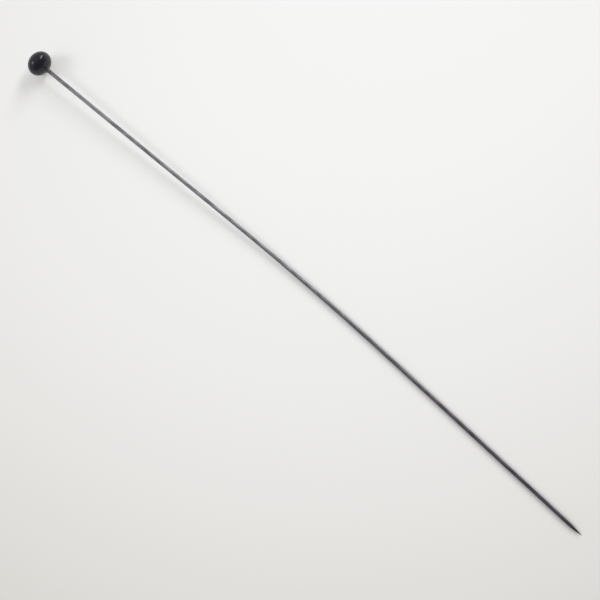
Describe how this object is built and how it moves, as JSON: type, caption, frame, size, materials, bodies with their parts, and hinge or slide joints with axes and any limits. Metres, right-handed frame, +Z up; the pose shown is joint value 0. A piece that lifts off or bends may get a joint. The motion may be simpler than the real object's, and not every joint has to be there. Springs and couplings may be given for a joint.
{
  "type": "hat pin",
  "caption": "Long hat pin: a small, slightly flattened black glass head cemented on a gently bowed steel wire that is ground to a point.",
  "frame": {"origin": "under the middle of the pin's bounding box, on the plane that the pin lies on", "axes": "+X from the head to the point, +Y toward the side that the shank bows to, +Z up off the surface that the pin lies on"},
  "size_m": [0.178, 0.0062, 0.0062],
  "materials": {
    "black_glass": "gloss",
    "shellac_cement": "satin",
    "drawn_steel": "aged satin"
  },
  "bodies": {
    "root": {"glass_head": "black_glass", "setting_cement": "shellac_cement", "steel_shank": "drawn_steel"}
  },
  "joints": []
}
